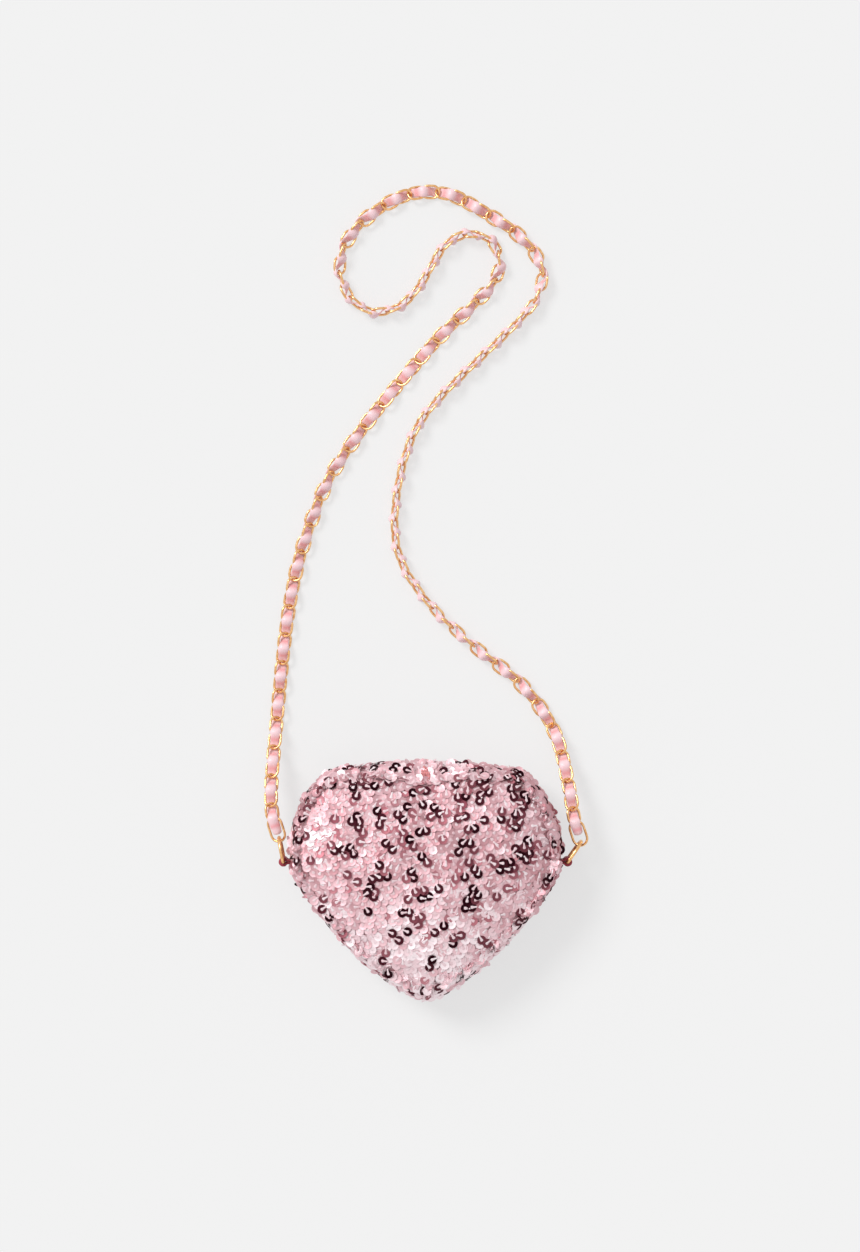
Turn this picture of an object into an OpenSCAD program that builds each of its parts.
// Heart shaped purse: a padded, lined fabric bag with a zip in its top edge,
// two D-rings on fabric tabs, and a long chain strap laced with a flat ribbon.
// It lies on its back: +Z points out of the front, +Y from the tip to the top,
// and the origin is on the flat back, midway between the tip and the top.

/* [Bag] */
// Width of the bag at its widest point
heart_w = 141; // [126:1:160]
// Height of the bag from the tip to the top edge
heart_h = 124; // [112:1:140]
// Thickness of the bag at the middle of the front
bag_t = 42; // [38:1:52]
// How much higher the middle of the front is than its seam
crown = 7; // [4:0.5:9]
// How much higher the back seam is than the flat back
back_rise = 4; // [3:0.5:6]
// How far the side band bulges out past the seams
belly = 5; // [3:0.5:7]
// How deep the seams dip between the two lobes
cleft_depth = 6.5; // [4:0.5:9]
// Radius of the long shallow arc that the top edge and the zip follow
top_r = 260; // [220:5:320]
// Height of the widest point above the middle
side_y = 10; // [6:1:14]

/* [Layers] */
// Thickness of the sequinned outer fabric
fabric_t = 1.4; // [1:0.1:2]
// Thickness of the foam padding
padding_t = 2; // [1:0.1:3]
// Thickness of the lining cloth
lining_t = 0.7; // [0.5:0.1:1]
// Space between one layer and the next
layer_gap = 0.2; // [0.15:0.05:0.3]
// Space between two pieces of cloth where they are sewn edge to edge
seam_gap = 0.2; // [0.15:0.05:0.3]

/* [Zip] */
// Length of the opening, along the top arc
zip_len = 88; // [76:1:96]
// Height of the zip's centre line above the flat back
zip_z = 16.5; // [16:0.5:19]
// Width of one zip tape
tape_w = 8; // [7:0.5:8.5]
// Thickness of a zip tape
tape_t = 0.5; // [0.4:0.1:0.6]
// Distance from one tooth to the next in the same row
tooth_pitch = 1.8; // [1.6:0.1:2.4]
// Diameter of one tooth's coil
tooth_d = 1.3; // [1:0.1:1.4]
// Length of a tooth across the tape
tooth_l = 2.1; // [1.8:0.1:2.4]
// Width of the slot between the two rows of teeth
tooth_slot = 0.9; // [0.9:0.1:1.2]
// Width of the gap between the cloth edges beside the zip
zip_window = 7; // [6.8:0.1:8]
// Length of the slider
slider_l = 8; // [7:0.5:10]
// Thickness of the slider's two plates
slider_t = 0.7; // [0.6:0.05:0.8]
// Length of the pull from its crossbar to its end
pull_l = 14; // [12:0.5:16]
// Width of the pull
pull_w = 5.8; // [5:0.1:6]
// Thickness of the pull
pull_t = 0.8; // [0.6:0.05:0.9]

/* [Tabs and rings] */
// Width of a strap tab
tab_w = 10; // [8:0.5:11]
// Thickness of the tab's cloth
tab_t = 1.2; // [1:0.1:1.5]
// Distance of a ring's bar from the side of the bag
bar_out = 2.7; // [2.6:0.1:4]
// Diameter of a D-ring's wire
ring_d = 1.9; // [1.6:0.1:2.1]
// Height of a D-ring along its bar
ring_h = 13; // [12.5:0.5:15]
// Depth of a D-ring, from its bar to its bow
ring_l = 12.5; // [12:0.5:15]
// Direction of the left ring in plan, counted from +X
ring_left_turn = 101; // [98:1:104]
// Direction of the right ring in plan, counted from +X
ring_right_turn = 55; // [52:1:60]

/* [Strap] */
// Diameter of the chain's wire
wire_d = 1.25; // [1.15:0.05:1.3]
// Width of a link between the middles of its wires
link_w = 6.7; // [6.6:0.05:7]
// Distance from one link to the next
link_pitch = 7.3; // [7.2:0.05:7.8]
// Play between two links
link_play = 0.4; // [0.35:0.05:0.5]
// How far each link is turned from the strap's own plane
link_turn = 25; // [24:0.5:27]
// Length of an end link between the middles of its wires
end_link_l = 13; // [12:0.5:15]
// Width of an end link between the middles of its wires
end_link_w = 8; // [7.5:0.1:9]
// Width of the ribbon
ribbon_w = 4; // [3.6:0.1:4.2]
// Thickness of the ribbon
ribbon_t = 0.8; // [0.6:0.1:0.8]

/* [Hidden] */

// Bag: seams and layers, each layer given by its depth below the outer surface
back_seam_z = back_rise;
front_seam_z = bag_t - crown;
seam_mid_z = (front_seam_z + back_seam_z) / 2;
top_centre_y = heart_h / 2 - top_r;
zip_half_turn = zip_len / 2 / top_r * 180 / PI;
fabric_in = fabric_t;
padding_out = fabric_in + layer_gap;
padding_in = padding_out + padding_t;
lining_out = padding_in + layer_gap;
lining_in = lining_out + lining_t;

// Outline: steps along the flank, the shoulder and half of the top edge
flank_steps = 12;
shoulder_steps = 8;
top_steps = 8;
band_steps = 6;
panel_steps = 6;
// Reach of the curves' handles, as shares of the half width and of the height
tip_lead_share = [0.411, 0.065];
flank_rise_share = 0.097;
shoulder_rise_share = 0.218;
shoulder_lead_share = 0.105;
// Share of a layer's depth by which its tip is drawn in
tip_depth_share = 1.3;
// Panels: the innermost ring, the flat part of the back, and the sharpness of the crown
panel_core_share = 0.12;
back_flat_share = 0.8;
crown_power = 2.6;

// Zip: depth of its centre line below the outer surface, and heights above and below the tape
zip_fit = 0.15;
zip_end_l = 1;
zip_depth = band_inset(zip_z - zip_window / 2) + cleft_dip(zip_z - zip_window / 2) + fabric_t + layer_gap;
tape_lip = 0.9;
tape_end = tape_lip + tape_w;
tooth_top = -tape_t - zip_fit;
tooth_bottom = tooth_top - tooth_d;
teeth_reach = tooth_slot / 2 + tooth_l;
rim_t = 0.4;
slider_w = 2 * (teeth_reach + zip_fit + rim_t);
plate_top = zip_fit + slider_t;
plate_under = tooth_bottom - zip_fit;
neck_w = 0.5;
neck_share = 0.25;
bridge_r = 2.1;
bridge_hole_r = 1.45;
bridge_w = 1.6;
pull_bar_d = 0.9;
pull_bar_y = plate_top + bridge_hole_r / 2;
pull_arm_w = 0.8;
pull_arm_l = 4;
pull_hole_share = 0.4;
stop_l = 1.6;
stop_t = 0.7;
stop_fit = 2 * zip_fit;
stop_reach = stop_l / 2 + zip_fit + slider_l / 2;
top_stop_turn = zip_half_turn - turn_for(zip_end_l + stop_l / 2);
slider_turn = top_stop_turn - turn_for(stop_reach);
// The slider stops a pull's length before the opening's left end, so the pull stays in the opening
slider_end_turn = turn_for(zip_end_l + pull_l) - zip_half_turn;
bottom_stop_turn = slider_end_turn - turn_for(stop_reach);
teeth_from_turn = bottom_stop_turn + turn_for(stop_l / 2 + tooth_pitch);
teeth_to_turn = top_stop_turn - turn_for(stop_l / 2 + tooth_pitch);
teeth_count = floor((teeth_to_turn - teeth_from_turn) / turn_for(tooth_pitch));

// Tabs and rings
ring_z = seam_mid_z;
ring_corner_r = 1.5;
bar_fit = 0.3;
bar_x = heart_w / 2 + bar_out;
tab_r = ring_d / 2 + bar_fit + tab_t;
// Room for the tab's two layers between the lower and the upper band, on each side of it,
// as steps of place along the outline
tab_room = tab_t + layer_gap;
tab_place_low = tab_room / (3 * flank_rise_share * heart_h);
tab_place_high = tab_room / (3 * shoulder_rise_share * heart_h);

// Strap: the route's points on the surface that the purse lies on, chosen along the chain
route_points = [
    [-79.5, 56], [-74, 120], [-68, 158], [-60, 185], [-50, 209], [-34, 233], [-14, 258],
    [8, 283], [28, 302], [38, 315], [37, 329], [27, 336], [15, 334], [7, 326], [-1, 312],
    [-11, 300], [-25, 295], [-38, 301], [-45, 317], [-40, 334], [-26, 348], [-8, 357],
    [12, 357], [33, 346], [48, 336], [59, 323], [61, 312], [57, 301], [46, 288], [4, 247],
    [-10, 222], [-16, 190], [-13, 166], [2, 143], [24, 122], [50, 101], [67, 77], [74, 50]
];
// How far the strap is turned on its side, at shares of its length
strap_turn_share = [
    [0, 0], [0.12, 0], [0.17, 35], [0.2, 35], [0.25, 0], [0.27, 0], [0.38, 90], [0.45, 90],
    [0.55, 0], [0.56, 0], [0.67, 90], [0.84, 90], [0.96, 0], [1, 0]
];
end_link_turn = 108;
// Step to which the straight part of a link is rounded
wire_grain = 0.001;
// Where the chain's four stretches meet, as shares of its length
chain_share = [0.3, 0.48, 0.68];
end_link_fit = 0.5;
end_link_back = (ring_d + wire_d) / 2 + end_link_fit;
route_steps = 10;
drop_l = 60;
ribbon_flat = 1.3;
ribbon_lift = 2.1;
ribbon_end = 5;

// Angle about the top arc's centre that a length along the top edge takes
function turn_for(length) = length / top_r * 180 / PI;
function mix(a, b, t) = a + (b - a) * t;
function bezier(p, t) =
    p[0] * (1 - t) ^ 3 + p[1] * 3 * (1 - t) ^ 2 * t + p[2] * 3 * (1 - t) * t ^ 2 + p[3] * t ^ 3;

// Share of the belly at a height between the seams, and how far the band lies inside it
function bulge(z) = sin(180 * min(max((z - back_seam_z) / (front_seam_z - back_seam_z), 0), 1));
function band_inset(z) = belly * (1 - bulge(z));
function cleft_dip(z) = cleft_depth * (1 - bulge(z)) ^ 2;

// A point of the heart outline that lies depth inside the widest outline.
// place runs from 0 at the tip over 1 at the side and 2 at the zip's end to 3 at the top,
// and is negative on the left.
function half_point(place, depth, dip) =
    let (
        tip = [0, -heart_h / 2 + depth * tip_depth_share],
        side = [heart_w / 2 - depth, side_y],
        zip_end = top_point(zip_half_turn, depth, dip),
        zip_way = [cos(zip_half_turn), -sin(zip_half_turn)],
        lead = [tip_lead_share[0] * heart_w / 2, tip_lead_share[1] * heart_h]
    )
    place <= 1
        ? bezier([tip, tip + lead, side - [0, flank_rise_share * heart_h], side], place)
        : place <= 2
            ? bezier([
                side,
                side + [0, shoulder_rise_share * heart_h],
                zip_end + zip_way * shoulder_lead_share * heart_h,
                zip_end
            ], place - 1)
            : top_point(zip_half_turn * (3 - place), depth, dip);
function top_point(turn, depth, dip) = [
    (top_r - depth) * sin(turn),
    top_centre_y + (top_r - depth) * cos(turn) - dip * (1 - abs(turn) / zip_half_turn) ^ 2
];
function outline_point(place, depth, dip) =
    let (p = half_point(abs(place), depth, dip))
    place < 0 ? [-p[0], p[1]] : p;

// Places along the outline, from one to another, by the steps of each stretch
function steps_at(place) = place < 1 ? flank_steps : place < 2 ? shoulder_steps : top_steps;
function next_place(p) = floor(p * steps_at(p) + 1 + 1e-6) / steps_at(p);
function places_up(from, to) = [for (p = from; p < to - 1e-6; p = min(next_place(p), to)) p, to];
function reversed(list) = [for (i = [len(list) - 1 : -1 : 0]) list[i]];
function ring_places() = concat(
    [for (p = places_up(0, 3)) p],
    [for (p = reversed(places_up(0, 3))) if (p > 0 && p < 3) -p]
);

// A ring or strip of the band at one height, at a depth below the outer surface
function band_point(place, z, depth) =
    let (
        p = outline_point(place, band_inset(z) + depth, cleft_dip(z)),
        low = back_seam_z + seam_gap + depth,
        high = front_seam_z - seam_gap - depth
    )
    [p[0], p[1], min(max(z, low), high)];

// Panels: r is 1 at the seam and falls towards the middle
function front_z(r) = front_seam_z + crown * (1 - r ^ crown_power);
function back_z(r) = back_rise * (max(0, r - back_flat_share) / (1 - back_flat_share)) ^ 2;
function panel_ring(r, depth, z) = [
    for (place = ring_places())
        let (p = outline_point(place, belly + depth, cleft_depth))
        [p[0] * r, side_y + (p[1] - side_y) * r, z]
];
function panel_shares() = [for (i = [0 : panel_steps]) mix(panel_core_share, 1, (i / panel_steps) ^ 0.7)];

// Solids between an outer and an inner grid of points. Each grid is a list of rows.
function quad(a, b, c, d) = [[a, b, c], [a, c, d]];
module strip_solid(outer, inner) {
    rows = len(outer);
    cols = len(outer[0]);
    count = rows * cols;
    points = [for (row = outer) each row, for (row = inner) each row];
    faces = [
        for (i = [0 : rows - 2], j = [0 : cols - 2])
            let (a = i * cols + j, b = a + 1, c = b + cols, d = a + cols)
            each concat(quad(d, c, b, a), quad(a + count, b + count, c + count, d + count)),
        for (j = [0 : cols - 2])
            let (a = j, b = (rows - 1) * cols + j)
            each concat(quad(a, a + 1, a + 1 + count, a + count), quad(b + 1, b, b + count, b + 1 + count)),
        for (i = [0 : rows - 2])
            let (a = i * cols, b = a + cols - 1, c = b + cols, d = a + cols)
            each concat(quad(d, a, a + count, d + count), quad(b, c, c + count, b + count))
    ];
    polyhedron(points, faces);
}
module dome_solid(outer, inner) {
    rows = len(outer);
    cols = len(outer[0]);
    count = rows * cols;
    last = count - cols;
    points = [for (row = outer) each row, for (row = inner) each row];
    faces = [
        for (i = [0 : rows - 2], j = [0 : cols - 1])
            let (a = i * cols + j, b = i * cols + (j + 1) % cols, c = b + cols, d = a + cols)
            each concat(quad(a, b, c, d), quad(d + count, c + count, b + count, a + count)),
        for (j = [0 : cols - 1])
            let (a = last + j, b = last + (j + 1) % cols)
            each quad(a, b, b + count, a + count),
        [for (j = [cols - 1 : -1 : 0]) j],
        [for (j = [0 : cols - 1]) j + count]
    ];
    polyhedron(points, faces);
}

// Layers of the bag
module front_layer(from, to) {
    dome_solid(
        [for (r = panel_shares()) panel_ring(r, from, front_z(r) - from)],
        [for (r = panel_shares()) panel_ring(r, to, front_z(r) - to)]
    );
}
module back_layer(from, to) {
    dome_solid(
        [for (r = panel_shares()) reversed(panel_ring(r, from, back_z(r) + from))],
        [for (r = panel_shares()) reversed(panel_ring(r, to, back_z(r) + to))]
    );
}
module lower_layer(from, to, stop_place) {
    places = concat(
        [for (p = reversed(places_up(0, stop_place))) -p],
        [for (p = places_up(0, stop_place)) if (p > 0) p]
    );
    heights = [for (i = [0 : band_steps]) mix(back_seam_z, front_seam_z, i / band_steps)];
    strip_solid(
        [for (z = heights) [for (p = places) band_point(p, z, from)]],
        [for (z = heights) [for (p = places) band_point(p, z, to)]]
    );
}
// Half of the upper band, between the zip and one seam. edge is the cloth's distance from the
// zip's centre line beside the zip.
module upper_layer(from, to, start_place, edge, seam_z) {
    up = sign(seam_z - zip_z);
    places = concat(
        [for (p = places_up(start_place, 3)) p],
        [for (p = reversed(places_up(start_place, 3))) if (p < 3) -p]
    );
    near = function (p) zip_z + up * (abs(p) >= 2 ? edge : seam_gap / 2);
    rows = [for (i = [0 : band_steps]) up > 0 ? i / band_steps : 1 - i / band_steps];
    strip_solid(
        [for (t = rows) [for (p = places) band_point(p, mix(near(p), seam_z, t), from)]],
        [for (t = rows) [for (p = places) band_point(p, mix(near(p), seam_z, t), to)]]
    );
}

module front_panel() {
    color("pink") front_layer(0, fabric_in);
}
module back_panel() {
    color("pink") back_layer(0, fabric_in);
}
module gusset_lower() {
    color("pink") lower_layer(0, fabric_in, 1 - tab_place_low);
}
module gusset_top_front() {
    color("pink") upper_layer(0, fabric_in, 1 + tab_place_high, zip_window / 2, front_seam_z);
}
module gusset_top_back() {
    color("pink") upper_layer(0, fabric_in, 1 + tab_place_high, zip_window / 2, back_seam_z);
}
module padding_front() {
    color("white") front_layer(padding_out, padding_in);
}
module padding_back() {
    color("white") back_layer(padding_out, padding_in);
}
module padding_lower() {
    color("white") lower_layer(padding_out, padding_in, 1);
}
module lining_front() {
    color("mistyrose") front_layer(lining_out, lining_in);
}
module lining_back() {
    color("mistyrose") back_layer(lining_out, lining_in);
}
module lining_lower() {
    color("mistyrose") lower_layer(lining_out, lining_in, 1);
}
module lining_top_front() {
    color("mistyrose") upper_layer(lining_out, lining_in, 1 + tab_place_high, tape_w, front_seam_z);
}
module lining_top_back() {
    color("mistyrose") upper_layer(lining_out, lining_in, 1 + tab_place_high, tape_w, back_seam_z);
}

// Zip: everything is set on the arc about the top edge's centre
module at_zip(turn) {
    translate([0, top_centre_y, 0])
        rotate([0, 0, -turn])
            translate([0, top_r - zip_depth, zip_z])
                children();
}
// A tape is level beside the teeth and goes out to the cloth where it is sewn
function tape_point(turn, w, depth) =
    let (
        z = zip_z + w,
        share = max(0, (abs(w) - zip_window / 2) / (tape_end - zip_window / 2)),
        sewn = band_inset(z) + fabric_t + layer_gap,
        p = top_point(turn, mix(zip_depth, sewn, share) + depth, share * cleft_dip(z))
    )
    [p[0], p[1], z];
module tape(reaches) {
    turns = [for (i = [top_steps : -1 : -top_steps]) zip_half_turn * i / top_steps];
    strip_solid(
        [for (w = reaches) [for (turn = turns) tape_point(turn, w, 0)]],
        [for (w = reaches) [for (turn = turns) tape_point(turn, w, tape_t)]]
    );
}
module zip_tape_front() {
    color("lightpink") tape([tape_lip, zip_window / 2, tape_end]);
}
module zip_tape_back() {
    color("lightpink") tape([-tape_end, -zip_window / 2, -tape_lip]);
}
module teeth(up, shift) {
    for (i = [0 : teeth_count - 1])
        at_zip(teeth_from_turn + (i + shift) * turn_for(tooth_pitch))
            translate([0, tooth_top - tooth_d / 2, up > 0 ? tooth_slot / 2 : -teeth_reach])
                cylinder(h = tooth_l, d = tooth_d, $fn = 24);
}
module zip_teeth_front() {
    color("pink") teeth(1, 0);
}
module zip_teeth_back() {
    color("pink") teeth(-1, 0.5);
}
module clamp_box(w_from, w_to, y_from, y_to) {
    translate([-stop_l / 2, y_from, w_from]) cube([stop_l, y_to - y_from, w_to - w_from]);
}
module zip_top_stops() {
    color("gold")
        for (up = [-1, 1])
            at_zip(top_stop_turn)
                scale([1, 1, up]) {
                    clamp_box(tooth_slot / 2, teeth_reach, stop_fit, stop_fit + stop_t);
                    clamp_box(tooth_slot / 2, tape_lip - zip_fit, tooth_bottom, stop_fit + stop_t);
                    clamp_box(tooth_slot / 2, teeth_reach, tooth_bottom, -tape_t - stop_fit);
                }
}
module zip_bottom_stop() {
    color("gold")
        at_zip(bottom_stop_turn) {
            clamp_box(-teeth_reach, teeth_reach, stop_fit, stop_fit + stop_t);
            clamp_box(-tape_lip + stop_fit, tape_lip - stop_fit, tooth_bottom, stop_fit + stop_t);
            clamp_box(-teeth_reach, teeth_reach, tooth_bottom, -tape_t - stop_fit);
        }
}
module plate(l, t, w, y) {
    translate([-l / 2, y, -w / 2]) cube([l, t, w]);
}
module zip_slider() {
    color("gold")
        at_zip(slider_turn) {
            plate(slider_l, slider_t, zip_window - 4 * zip_fit, zip_fit);
            plate(slider_l, slider_t, slider_w, plate_under - slider_t);
            for (up = [0, 1])
                mirror([0, 0, up])
                    translate([-slider_l / 2, plate_under - zip_fit, slider_w / 2 - rim_t])
                        cube([slider_l, tooth_d + zip_fit, rim_t]);
            translate([slider_l / 2 - neck_share * slider_l, plate_under - zip_fit, -neck_w / 2])
                cube([neck_share * slider_l, plate_top - plate_under, neck_w]);
            translate([0, plate_top - zip_fit, -bridge_w / 2])
                linear_extrude(bridge_w)
                    difference() {
                        circle(bridge_r, $fn = 48);
                        circle(bridge_hole_r, $fn = 48);
                        translate([-bridge_r, -2 * bridge_r]) square(2 * bridge_r);
                    }
        }
}
module zip_pull() {
    arm_z = bridge_w / 2 + 2 * zip_fit;
    arm_far_z = arm_z + pull_arm_w;
    color("gold")
        at_zip(slider_turn)
            translate([0, pull_bar_y, 0]) {
                translate([0, 0, -arm_far_z]) cylinder(h = 2 * arm_far_z, d = pull_bar_d, $fn = 24);
                translate([0, pull_t / 2, 0])
                    rotate([90, 0, 0])
                        linear_extrude(pull_t)
                            difference() {
                                union() {
                                    translate([-pull_arm_l, arm_z]) square([pull_arm_l, pull_arm_w]);
                                    translate([-pull_arm_l, -arm_far_z]) square([pull_arm_l, pull_arm_w]);
                                    translate([-pull_l + pull_w / 2, -pull_w / 2])
                                        square([pull_l - pull_w / 2 - pull_arm_l, pull_w]);
                                    translate([-pull_l + pull_w / 2, 0]) circle(d = pull_w, $fn = 48);
                                }
                                translate([-pull_l + pull_w / 2, 0])
                                    circle(d = pull_hole_share * pull_w, $fn = 32);
                            }
            }
}

// Tabs and rings. side is -1 on the left and 1 on the right.
module strap_tab(side) {
    tail_l = bar_out + fabric_t - layer_gap;
    color("palevioletred")
        translate([side * bar_x, side_y, ring_z - tab_w / 2])
            linear_extrude(tab_w)
                difference() {
                    union() {
                        circle(tab_r, $fn = 48);
                        translate([side > 0 ? -tail_l : 0, -tab_t]) square([tail_l, 2 * tab_t]);
                    }
                    circle(tab_r - tab_t, $fn = 48);
                }
}
module strap_tab_left() {
    strap_tab(-1);
}
module strap_tab_right() {
    strap_tab(1);
}
module wire_bend(r, angle) {
    rotate_extrude(angle = angle, $fn = 64) translate([r, 0]) circle(d = ring_d, $fn = 32);
}
module d_ring(side, turn) {
    bow_r = ring_h / 2;
    neck_l = ring_l - bow_r;
    bar_l = ring_h - 2 * ring_corner_r;
    color("gold")
        translate([side * bar_x, side_y, ring_z])
            rotate([0, 0, turn])
                rotate([90, 0, 0]) {
                    translate([0, bar_l / 2, 0])
                        rotate([90, 0, 0])
                            cylinder(h = bar_l, d = ring_d, $fn = 32);
                    for (up = [0, 1])
                        mirror([0, up, 0]) {
                            translate([ring_corner_r, bar_l / 2, 0])
                                rotate([0, 0, 90]) wire_bend(ring_corner_r, 90);
                            translate([ring_corner_r, bow_r, 0])
                                rotate([0, 90, 0])
                                    cylinder(h = neck_l - ring_corner_r, d = ring_d, $fn = 32);
                        }
                    translate([neck_l, 0, 0]) rotate([0, 0, -90]) wire_bend(bow_r, 180);
                }
}
module ring_left() {
    d_ring(-1, ring_left_turn);
}
module ring_right() {
    d_ring(1, ring_right_turn);
}

// Strap. The end links hang on the bows of the rings, and the chain runs between them.
end_way = [cos(end_link_turn), sin(end_link_turn)];
end_reach = end_link_l - end_link_back - (wire_d + link_play) / 2;
function bow_point(side, turn) = [side * bar_x, side_y] + ring_l * [cos(turn), sin(turn)];
bow_left = bow_point(-1, ring_left_turn);
bow_right = bow_point(1, ring_right_turn);
strap_start = bow_left + end_reach * end_way;
strap_end = bow_right + end_reach * end_way;
route = concat([strap_start], route_points, [strap_end]);
function smooth_point(p, i, t) =
    let (
        n = len(p),
        a = i > 0 ? p[i - 1] : p[i] - end_way * norm(p[1] - p[0]),
        b = p[i],
        c = p[i + 1],
        d = i + 2 < n ? p[i + 2] : c - end_way * norm(c - b)
    )
    (2 * b + (c - a) * t + (2 * a - 5 * b + 4 * c - d) * t ^ 2 + (3 * b - 3 * c + d - a) * t ^ 3) / 2;
path = [
    for (i = [0 : len(route) - 2], k = [0 : route_steps - 1]) smooth_point(route, i, k / route_steps),
    strap_end
];
function step_l(i) = i + 1 < len(path) ? norm(path[i + 1] - path[i]) : 0;
path_s = [for (i = 0, s = 0; i < len(path); s = s + step_l(i), i = i + 1) s];
strap_l = path_s[len(path_s) - 1];
path_x = [for (i = [0 : len(path) - 1]) [path_s[i], path[i][0]]];
path_y = [for (i = [0 : len(path) - 1]) [path_s[i], path[i][1]]];
link_count = 2 * round(strap_l / link_pitch / 2);
pitch = strap_l / link_count;
function strap_turn(s) = lookup(s / strap_l, strap_turn_share);
function rest_z(turn) = max(
    ribbon_w / 2 * abs(sin(turn)) + (ribbon_lift + ribbon_t / 2) * abs(cos(turn)),
    link_w / 2 * (abs(sin(turn)) * cos(link_turn) + abs(cos(turn)) * sin(link_turn)) + wire_d / 2
);
function ease(t) = let (c = min(max(t, 0), 1)) c * c * (3 - 2 * c);
function strap_z(s) = mix(ring_z, rest_z(strap_turn(s)), ease(min(s, strap_l - s) / drop_l));
function strap_point(s) = [lookup(s, path_x), lookup(s, path_y), strap_z(s)];
joints = [for (i = [0 : link_count]) strap_point(i * pitch)];

// Directions at a place on the strap: along it, across it and out of its face
function unit(v) = v / norm(v);
function axes(way, turn) =
    let (
        t = unit(way),
        up = unit([0, 0, 1] - t * t[2]),
        across = cross(up, t)
    )
    [t, across * cos(turn) + up * sin(turn), up * cos(turn) - across * sin(turn)];
module link(l, w) {
    half = wire_grain * round((l - w) / 2 / wire_grain);
    for (flip = [0, 1])
        mirror([flip, 0, 0]) {
            translate([half, 0, 0])
                rotate([0, 0, -90])
                    rotate_extrude(angle = 180, $fn = 48)
                        translate([w / 2, 0]) circle(d = wire_d, $fn = 24);
        }
    for (side = [-1, 1])
        translate([-half, side * w / 2, 0]) rotate([0, 90, 0]) cylinder(h = 2 * half, d = wire_d, $fn = 24);
}
module placed(a, at) {
    multmatrix([
        [a[0][0], a[1][0], a[2][0], at[0]],
        [a[0][1], a[1][1], a[2][1], at[1]],
        [a[0][2], a[1][2], a[2][2], at[2]],
        [0, 0, 0, 1]
    ])
        children();
}
function wave(i) = i % 2 == 0 ? 1 : -1;
module chain(from_share, to_share) {
    color("gold")
        for (i = [round(from_share * link_count) : round(to_share * link_count) - 1]) {
            from = joints[i];
            to = joints[i + 1];
            turn = strap_turn((i + 0.5) * pitch) + wave(i) * link_turn;
            placed(axes(to - from, turn), (from + to) / 2)
                link(norm(to - from) + wire_d + link_play, link_w);
        }
}
module chain_left_run() {
    chain(0, chain_share[0]);
}
module chain_inner_loop() {
    chain(chain_share[0], chain_share[1]);
}
module chain_outer_loop() {
    chain(chain_share[1], chain_share[2]);
}
module chain_right_run() {
    chain(chain_share[2], 1);
}
module end_link(bow, turn) {
    placed(
        axes([end_way[0], end_way[1], 0], turn),
        [bow[0], bow[1], ring_z] + (end_link_l / 2 - end_link_back) * [end_way[0], end_way[1], 0]
    )
        link(end_link_l, end_link_w);
}
module strap_end_links() {
    color("gold") {
        end_link(bow_left, -link_turn);
        end_link(bow_right, -link_turn);
    }
}

// The ribbon goes over one joint and under the next, and ends inside the end links
function ribbon_ring(s, lift) =
    let (
        inside = min(max(s, 0), strap_l),
        step = pitch / 4,
        out = [end_way[0], end_way[1], 0],
        way = s < 0
            ? out
            : s > strap_l
                ? -out
                : strap_point(min(s + step, strap_l)) - strap_point(max(s - step, 0)),
        at = strap_point(inside) - abs(s - inside) * out,
        a = axes(way, strap_turn(inside))
    )
    [
        for (c = [[-1, -1], [1, -1], [1, 1], [-1, 1]])
            at + a[1] * c[0] * ribbon_w / 2 + a[2] * (lift + c[1] * ribbon_t / 2)
    ];
module tube(rings) {
    n = len(rings[0]);
    last = (len(rings) - 1) * n;
    points = [for (r = rings) each r];
    faces = [
        [for (j = [0 : n - 1]) j],
        [for (j = [n - 1 : -1 : 0]) last + j],
        for (i = [0 : len(rings) - 2], j = [0 : n - 1])
            let (a = i * n + j, b = i * n + (j + 1) % n)
            each quad(a, a + n, b + n, b)
    ];
    polyhedron(points, faces);
}
module strap_ribbon() {
    color("hotpink")
        tube([
            ribbon_ring(-ribbon_end, 0),
            for (i = [0 : link_count])
                each [
                    ribbon_ring(i * pitch - ribbon_flat, wave(i) * ribbon_lift),
                    ribbon_ring(i * pitch + ribbon_flat, wave(i) * ribbon_lift)
                ],
            ribbon_ring(strap_l + ribbon_end, 0)
        ]);
}

front_panel();
back_panel();
gusset_lower();
gusset_top_front();
gusset_top_back();
padding_front();
padding_back();
padding_lower();
lining_front();
lining_back();
lining_lower();
lining_top_front();
lining_top_back();
zip_tape_front();
zip_tape_back();
zip_teeth_front();
zip_teeth_back();
zip_top_stops();
zip_bottom_stop();
zip_slider();
zip_pull();
strap_tab_left();
strap_tab_right();
ring_left();
ring_right();
strap_end_links();
chain_left_run();
chain_inner_loop();
chain_outer_loop();
chain_right_run();
strap_ribbon();
